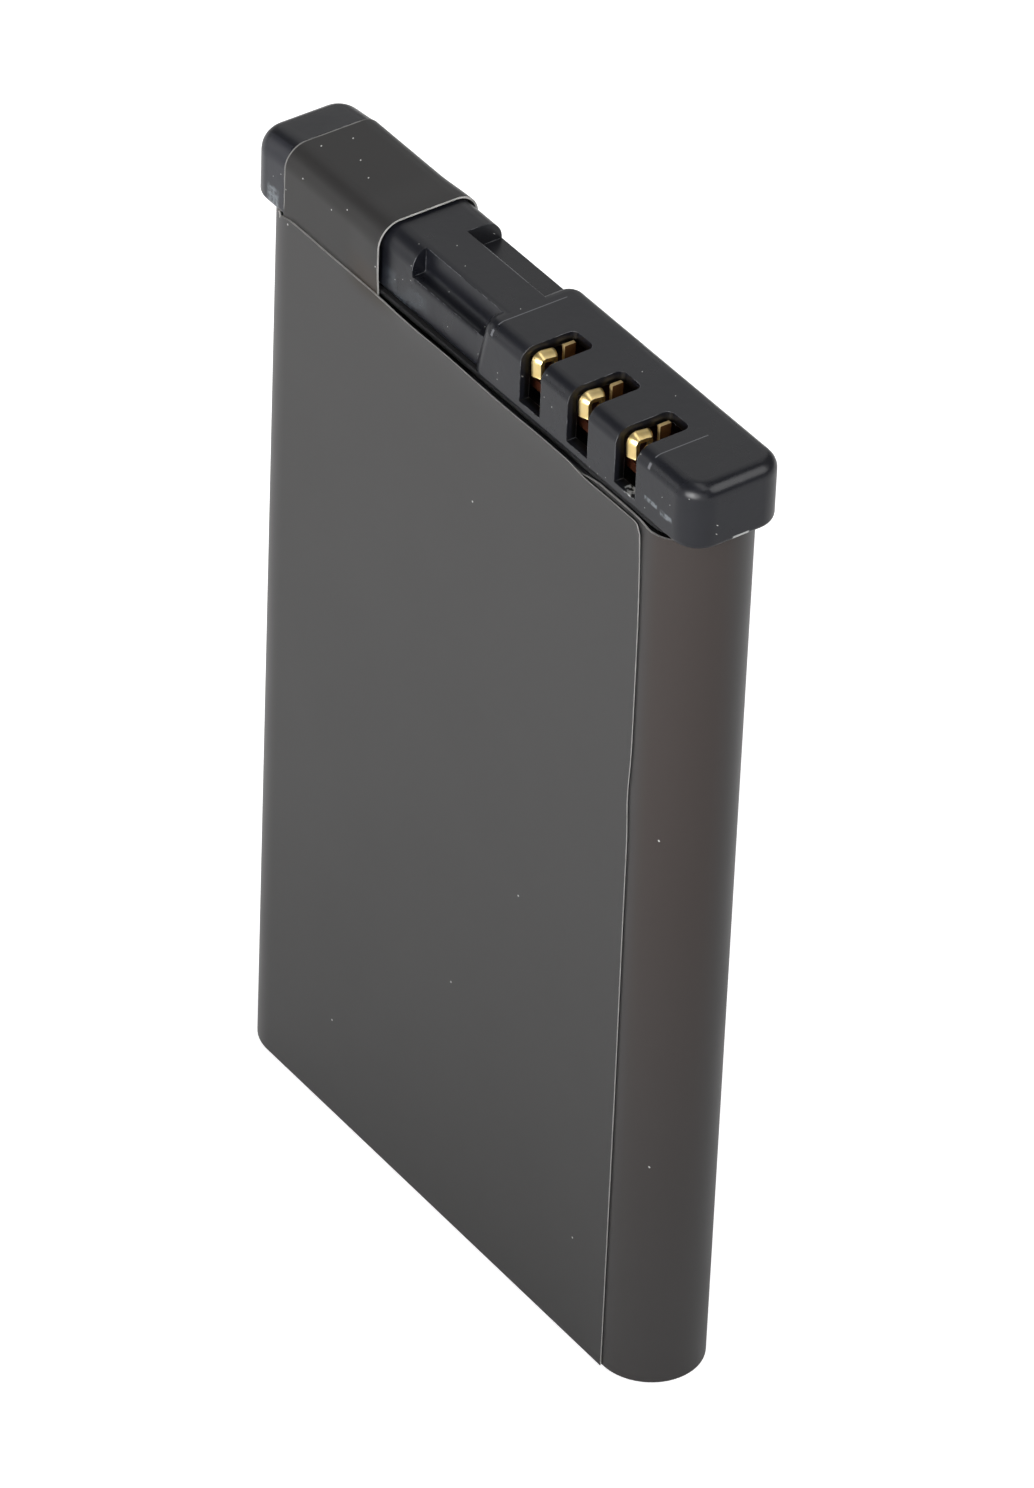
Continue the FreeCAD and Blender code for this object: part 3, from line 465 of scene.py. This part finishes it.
waves = add_node(
    tree, "ShaderNodeBump", {"Strength": 0.6, "Distance": 0.012 * MM},
    {"Height": ripple.outputs["Fac"], "Normal": shaded},
)
bump = add_node(
    tree, "ShaderNodeBump", {"Strength": 0.5, "Distance": 0.003 * MM},
    {"Height": grain.outputs["Fac"], "Normal": waves.outputs[0]},
)
gloss = patches(tree, place, CLOUD, 4.0, 0.3, 0.7, 0.25, 0.35)
close_material(
    tree, {"Specular IOR Level": 0.42},
    {"Base Color": colour, "Roughness": gloss, "Normal": bump.outputs[0]},
)
cap = smooth_copy("top_cap", "cap_moulding", cap_plastic)

# Film wrap
# Printed polyester film with a white core, wound once round the cell and glued on itself.
# Its outer end lies on the front panel, where its top edge is a little wavy and stands off.
FILM = 0.1
FILM_GAP = 0.02
FILM_FACE = 2.72
FILM_FOOT = 0.1
STRAIGHT = 14.12
CAN_TOP = 49.7
INNER_END = -5.0
SEAM = 14.0
CORNER = 0.5


def smooth_step(low, high, value):
    """0 below low, 1 above high, and a smooth cubic rise between them."""
    part = np.clip((value - low) / (high - low), 0, 1)
    return part * part * (3 - 2 * part)


def bell(value, middle, width):
    """1 at the middle, falling off on both sides as a bell curve."""
    return np.exp(-((value - middle) / width) ** 2)


# dark grey print under a satin lacquer, a shade browner on the narrow side
film_print, tree, place = new_material("printed polyester film")
parts = add_node(tree, "ShaderNodeSeparateXYZ", {}, {"Vector": place}).outputs
BROAD = 9.0
settings = {"Scale": 1 / (BROAD * MM), "Detail": 3.0}
broad = add_node(tree, "ShaderNodeTexNoise", settings, {"Vector": place}).outputs["Fac"]
upward = {**SMOOTH, "From Min": 0.0, "From Max": 35 * MM, "To Min": 0.2, "To Max": 1.0}
browner = add_node(tree, "ShaderNodeMapRange", upward, {"Value": parts["Z"]}).outputs[0]
narrow = zone(tree, parts, browner, across=(15.0, None, 1.1), deep=(None, -0.5, 2.0))
# the tab is a shade darker, and browner low down at its right edge
above = {**SMOOTH, "From Min": 49.8 * MM, "From Max": 50.2 * MM, "To Max": 0.5}
darker = add_node(tree, "ShaderNodeMapRange", above, {"Value": parts["Z"]}).outputs[0]
low_right = zone(tree, parts, across=(-8.0, -6.8, 2.0), deep=(-3.0, -2.0, 0.5), up=(49.9, 50.6, 1.0))
# its left edge is rubbed down to the core
worn = patches(tree, place, 0.8, 4.0, 0.3, 0.6, 0.4, 0.9)
left_edge = zone(tree, parts, worn, across=(-14.7, -14.52, 0.03), up=(50.4, 54.0, 0.4))
tab_dust = zone(tree, parts, dust(tree, place, 1.2, 0.09, 0.16), up=(51.0, 54.0, 0.5))
specks = [dust(tree, place, 5.0, 0.12, 0.12), tab_dust]
colour = layers(
    tree, "#333232", (broad, "#393838"), (narrow, "#37312f"), (darker, "#1d1c1b"),
    (low_right, "#2c2621"), (left_edge, "#7d7c7a"), (specks, "#c8c8c6"),
)
grain = add_node(tree, "ShaderNodeTexNoise", {"Scale": 1 / (0.06 * MM), "Detail": 3.0}, {"Vector": place})
relief = {"Strength": 0.4, "Distance": 0.002 * MM}
bump = add_node(tree, "ShaderNodeBump", relief, {"Height": grain.outputs["Fac"]})
gloss = patches(tree, place, BROAD, 3.0, 0.2, 0.8, 0.32, 0.42)
close_material(
    tree, {"Specular IOR Level": 0.3},
    {"Base Color": colour, "Roughness": gloss, "Normal": bump.outputs[0]},
)
# the film's core, bare where a knife has cut it
film_core = grained("white film core", "#83827f", "#d0cfcc", 0.7, (0.5, 0.7), 0.002)

# round the right end, the back and the left end, whose round is larger by half a layer
left_round = FILM_FACE + (FILM + FILM_GAP) / 2
front = -FILM_FACE - FILM - FILM_GAP
wrap_corners = [
    (INNER_END, -FILM_FACE), (STRAIGHT + FILM_FACE, -FILM_FACE), (STRAIGHT + FILM_FACE, FILM_FACE),
    (-STRAIGHT - left_round, FILM_FACE), (-STRAIGHT - left_round, front), (SEAM, front),
]
# more stations on the front panel and the ends than on the flat back
stations = np.interp(
    np.linspace(0, 1, 300),
    [0, 0.08, 0.22, 0.27, 0.42, 0.55, 1.0], [0, 0.19, 0.29, 0.3, 0.575, 0.685, 1.0],
)
line, out = bent(wrap_corners, [FILM_FACE, FILM_FACE, left_round, left_round], stations, 40)
x, y = line[:, :1], line[:, 1:]
# the panel's top edge is wavy, and rounded at its right corner
on_panel = smooth_step(-2.80, -2.83, y) * smooth_step(-STRAIGHT - 0.6, -STRAIGHT + 0.2, x)
wave = 0.14 + 0.08 * bell(x, -1.3, 2.4) + 0.05 * bell(x, 6.3, 1.7) + 0.03 * bell(x, -13, 1.2)
wave -= 0.21 * smooth_step(8.0, 10.0, x)
corner_fall = CORNER - np.sqrt(CORNER ** 2 - np.clip(x - SEAM + CORNER, 0, CORNER) ** 2)
# the layer under it ends lower, but for its right part, and dips where it goes round the right end
on_under = smooth_step(-2.70, -2.715, y) * (1 - smooth_step(-2.74, -2.76, y))
sunk = (0.25 - 0.33 * smooth_step(8.5, 10.5, x)) * smooth_step(STRAIGHT + 0.3, STRAIGHT - 0.6, x)
dip = 0.14 * bell(x, 14.6, 1.0) * smooth_step(0, -1, y)
top = CAN_TOP + on_panel * (wave - corner_fall) - on_under * sunk - (1 - on_panel) * dip
rows = 1 - (1 - np.linspace(0, 1, 64)) ** 1.8
height = FILM_FOOT + (top - FILM_FOOT) * rows
# the front panel lifts off towards its free top edge, and its end strays from a straight line
lift = 0.1 * np.exp(-(top - height) / 0.9) * on_panel
lift *= smooth_step(-8, -3, x) * (1 - 0.5 * smooth_step(6, 12, x))
stray = 0.06 * smooth_step(30, 15, height) - 0.16 * bell(height, 50, 4) - 0.13 * bell(height, 34.3, 1.6)
outer = np.empty((*height.shape, 3))
outer[..., 0] = x + out[:, :1] * lift + stray * on_panel * smooth_step(11, SEAM, x)
outer[..., 1] = y + out[:, 1:] * lift
outer[..., 2] = height
# the knife has squeezed the panel thinner along its end and along the free part of its top edge
top_squeeze = np.exp(-(top - height) / 0.3) * smooth_step(-7, -3, x)
thin = 1 - 0.4 * on_panel * np.maximum(top_squeeze, smooth_step(SEAM - 0.4, SEAM, x))
inner = outer.copy()
inner[..., 0] -= FILM * thin * out[:, :1]
inner[..., 1] -= FILM * thin * out[:, 1:]
wrap = sheet("film_wrap", outer, inner, film_print, film_core)
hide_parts("label_film")

# Film tab
# The back of the same film runs on upwards here; it is folded over the cap's bar to the front and
# glued down under the front panel. Its right edge stands a little proud of the plastic.
TAB_TOP = 53.52
TAB_END = 46.7
TAB_BEND = 1.17
TAB_LEFT = -14.58
TAB_RIGHT = -6.9
line, out = bent(
    [(FILM_FACE, CAN_TOP), (FILM_FACE, TAB_TOP), (-FILM_FACE, TAB_TOP), (-FILM_FACE, TAB_END)],
    [TAB_BEND, TAB_BEND], np.linspace(0, 1, 120), 32,
)
side = np.linspace(TAB_LEFT, TAB_RIGHT, 60)
proud = 0.1 * smooth_step(-9.5, TAB_RIGHT, side) * smooth_step(49.0, 51.5, line[:, 1:])
outer = np.empty((len(line), len(side), 3))
outer[..., 0] = side
outer[..., 1] = line[:, :1] + out[:, :1] * proud
outer[..., 2] = line[:, 1:] + out[:, 1:] * proud
inner = outer.copy()
inner[..., 1] -= FILM * out[:, :1]
inner[..., 2] -= FILM * out[:, 1:]
tab = sheet("film_tab", outer, inner, film_print, film_core)
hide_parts("label_film")

# Floor
# A plain table of white acrylic that runs out of the picture on all sides; the battery stands on it
# on its flat bottom end.
half = 1.5
floor_mesh = bpy.data.meshes.new("table")
rim = [(-half, -half, 0), (half, -half, 0), (half, half, 0), (-half, half, 0)]
floor_mesh.from_pydata(rim, [], [(0, 1, 2, 3)])
floor = bpy.data.objects.new("table", floor_mesh)
bpy.context.scene.collection.objects.link(floor)
# white acrylic lit from below, less so just right of the battery; the camera sees more of the glow, so
# that only the shadow isn't white
white, tree, place = new_material("white acrylic")
seen = add_node(tree, "ShaderNodeLightPath").outputs["Is Camera Ray"]
grain = add_node(tree, "ShaderNodeTexNoise", {"Scale": 1 / (0.4 * MM), "Detail": 3.0}, {"Vector": place})
relief = {"Strength": 0.2, "Distance": 0.004 * MM}
bump = add_node(tree, "ShaderNodeBump", relief, {"Height": grain.outputs["Fac"]})
matt = add_node(tree, "ShaderNodeBsdfDiffuse", {"Color": linear("#e1e1e1")}, {"Normal": bump.outputs[0]})
dim_spot = (40 * MM, 12 * MM, 0)
reach = add_node(tree, "ShaderNodeVectorMath", {"operation": "DISTANCE", 1: dim_spot}, {0: place})
outward = {**SMOOTH, "From Min": 10 * MM, "From Max": 100 * MM, "To Min": 0.02, "To Max": 0.34}
below = add_node(tree, "ShaderNodeMapRange", outward, {"Value": reach.outputs["Value"]}).outputs[0]
level = add_node(tree, "ShaderNodeMix", {"B": 0.7}, {"Factor": seen, "A": below}).outputs[0]
glow = add_node(tree, "ShaderNodeEmission", {}, {"Strength": level})
both = add_node(tree, "ShaderNodeAddShader", {}, {0: matt.outputs[0], 1: glow.outputs[0]})
add_node(tree, "ShaderNodeOutputMaterial", {}, {"Surface": both.outputs[0]})
floor_mesh.materials.append(white)

# Light
# A dim white room with soft boxes overhead, behind on the right and, with a grid that keeps it
# on the upper half, in front; white cards stand on the right, low in front and behind on the left.
world = bpy.data.worlds.new("studio")
bpy.context.scene.world = world
world.use_nodes = True
tree = world.node_tree
tree.nodes.clear()
seen = add_node(tree, "ShaderNodeLightPath").outputs["Is Camera Ray"]
level = add_node(tree, "ShaderNodeMapRange", {"To Min": 0.18, "To Max": 1.0}, {"Value": seen})
room = add_node(tree, "ShaderNodeBackground", {}, {"Strength": level.outputs[0]})
room.inputs["Color"].default_value = (1.0, 1.0, 1.0, 1.0)
add_node(tree, "ShaderNodeOutputWorld", {}, {"Surface": room.outputs[0]})


def soft_light(name, way, distance, width, height, power, spread=180, aim=0.05):
    """A flat light at a distance along a direction from a point above the origin, which it faces.

    The point's height is the aim; the spread in degrees is how far a grid lets the light fan out.
    """
    lamp = bpy.data.lights.new(name, "AREA")
    lamp.shape = "RECTANGLE"
    lamp.size = width
    lamp.size_y = height
    lamp.energy = power
    lamp.spread = math.radians(spread)
    back = np.array(way, float) / np.linalg.norm(way)
    level = np.cross([0, 0, 1], back)
    level /= np.linalg.norm(level)
    turn = np.eye(4)
    turn[:3, :3] = np.column_stack([level, np.cross(back, level), back])
    turn[:3, 3] = back * distance + np.array([0, 0, aim])
    light = bpy.data.objects.new(name, lamp)
    light.matrix_world = Matrix(turn.tolist())
    bpy.context.scene.collection.objects.link(light)


soft_light("front box", (0.4, -0.9, 0.15), 0.2, width=0.25, height=0.25, power=0.24, spread=50, aim=0.13)
soft_light("front card", (-0.65, -0.72, 0.2), 0.5, width=0.5, height=0.22, power=0.34)
soft_light("overhead box", (0.2, -0.05, 0.95), 0.5, width=0.15, height=0.5, power=0.45)
soft_light("right box", (0.62, 0.47, 0.63), 0.6, width=0.4, height=0.4, power=1.3)
soft_light("right card", (0.85, -0.5, 0.15), 0.35, width=0.25, height=0.25, power=0.17)
soft_light("left card", (-0.634, 0.474, 0.611), 0.5, width=0.5, height=0.5, power=0.44)

# Camera
# A long lens above and to the right of the front, far enough off for nearly parallel lines.
# The focal length is in pixels of a picture of that height.
PICTURE_HEIGHT = 1488.0
FOCAL_LENGTH = 9999.0
yaw, pitch, roll = math.radians(53.197), math.radians(37.669), math.radians(-2.446)
eye = np.array([297.873, -221.679, 313.834]) * MM
forward = np.array([-math.sin(yaw) * math.cos(pitch), math.cos(yaw) * math.cos(pitch), -math.sin(pitch)])
level = np.cross(forward, [0, 0, 1])
level /= np.linalg.norm(level)
plumb = np.cross(forward, level)
right = math.cos(roll) * level + math.sin(roll) * plumb
down = math.cos(roll) * plumb - math.sin(roll) * level
lens = bpy.data.cameras.new("camera")
lens.sensor_width = 36.0
lens.lens = lens.sensor_width * FOCAL_LENGTH / PICTURE_HEIGHT
lens.clip_start = 0.01
camera = bpy.data.objects.new("camera", lens)
bpy.context.scene.collection.objects.link(camera)
turn = np.eye(4)
turn[:3, :3] = np.column_stack([right, -down, -forward])
turn[:3, 3] = eye
camera.matrix_world = Matrix(turn.tolist())
bpy.context.scene.camera = camera
bpy.context.scene.view_settings.view_transform = "Standard"
